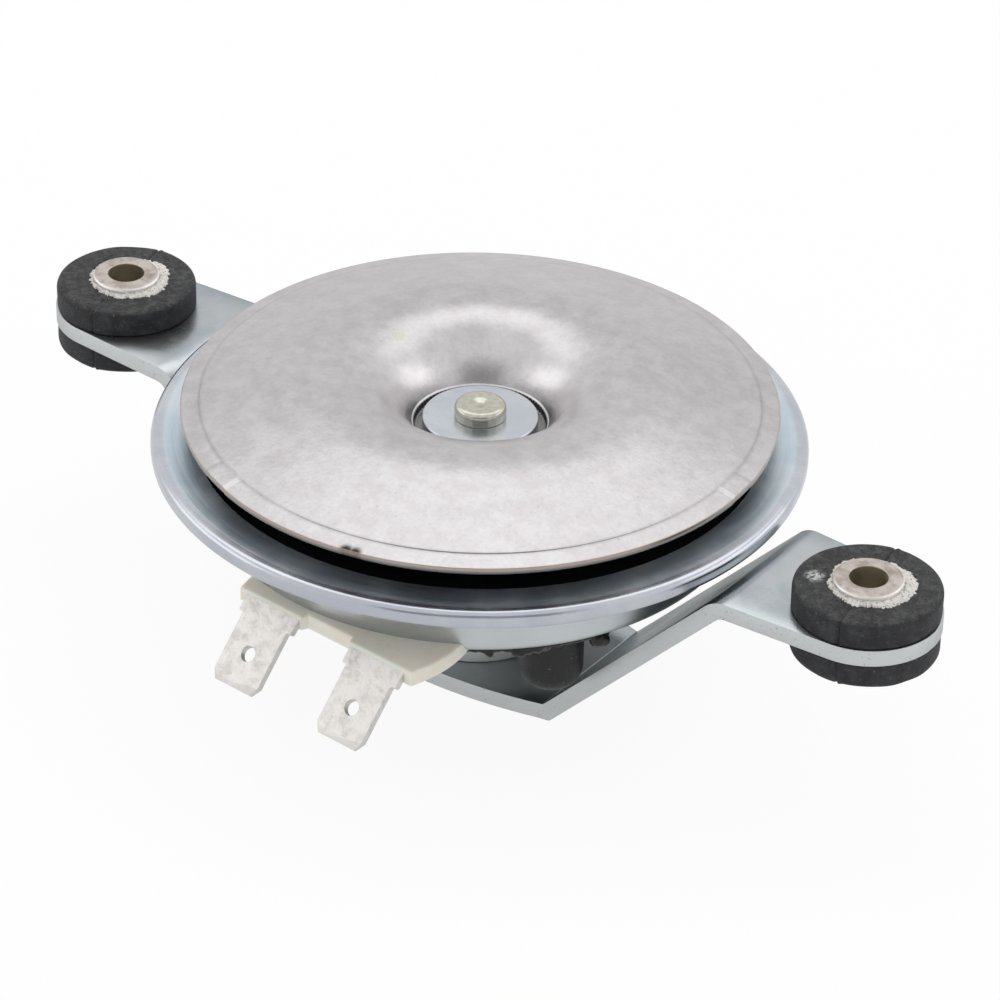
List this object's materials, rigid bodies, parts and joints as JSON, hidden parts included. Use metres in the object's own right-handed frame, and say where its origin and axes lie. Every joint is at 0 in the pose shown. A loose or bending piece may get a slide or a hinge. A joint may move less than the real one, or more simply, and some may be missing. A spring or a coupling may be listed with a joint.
{
  "type": "car horn",
  "caption": "Flat electric disc horn: pressed steel pan with crimped ring, domed tone disc, bent strip bracket with rubber-bushed ears, and push-on tabs.",
  "frame": {"origin": "on the horn's axis, at the bottom face of the bracket's centre plate", "axes": "+Z along the horn's axis towards the tone disc, +X along the line of the two ears, -Y towards the terminals"},
  "size_m": [0.1172, 0.0746, 0.0339],
  "materials": {
    "aluminium_disc": "satin, fine mottled grain",
    "zinc_bright": "bright bluish zinc plate",
    "zinc_bracket": "satin zinc plate, greenish grey",
    "zinc_pan": "pressed sheet, bright zinc plate",
    "nickel_rivet": "warm nickel plate, polished",
    "sleeve_steel": "satin nickel plate, slightly browned",
    "rubber_black": "matte, lightly dusty",
    "nylon_cream": "cream moulded nylon",
    "tin_tab": "tin-plated brass, lightly stained",
    "cap_black": "moulded, charcoal black",
    "sealant_black": "glossy sealing compound",
    "spring_steel_black": "black oxide",
    "gasket_fibre": "pressed fibre",
    "soft_iron": "machined soft iron",
    "bobbin_nylon": "moulded nylon",
    "copper_wire": "enamelled copper",
    "laminate_brown": "phenolic laminate",
    "spring_bronze": "phosphor bronze",
    "contact_tungsten": "polished contact metal",
    "breaker_steel": "plain steel"
  },
  "bodies": {
    "root": {"tone_disc": "aluminium_disc", "centre_rivet": "nickel_rivet", "clamp_washer": "zinc_bright", "diaphragm": "spring_steel_black", "crimp_ring": "zinc_bright", "rim_gasket": "gasket_fibre", "housing_pan": "zinc_pan", "armature": "soft_iron", "core": "soft_iron", "spacer_collar": "zinc_pan", "coil_bobbin": "bobbin_nylon", "coil_winding": "copper_wire", "breaker_base_insulator": "laminate_brown", "breaker_middle_insulator": "laminate_brown", "breaker_clamp_plate": "breaker_steel", "fixed_contact_arm": "spring_bronze", "moving_contact_spring": "spring_bronze", "fixed_contact": "contact_tungsten", "moving_contact": "contact_tungsten", "breaker_rivets": "breaker_steel", "adjusting_screw": "breaker_steel", "adjuster_nut": "breaker_steel", "adjuster_cap": "cap_black", "terminal_block": "nylon_cream", "terminal_tab_left": "tin_tab", "terminal_tab_right": "tin_tab", "sealant_bead": "sealant_black", "mounting_bracket": "zinc_bracket", "grommet_left": "rubber_black", "grommet_right": "rubber_black", "sleeve_left": "sleeve_steel", "sleeve_right": "sleeve_steel", "coil_lead_terminal": "copper_wire", "coil_lead_breaker": "copper_wire", "breaker_lead": "copper_wire"}
  },
  "joints": []
}
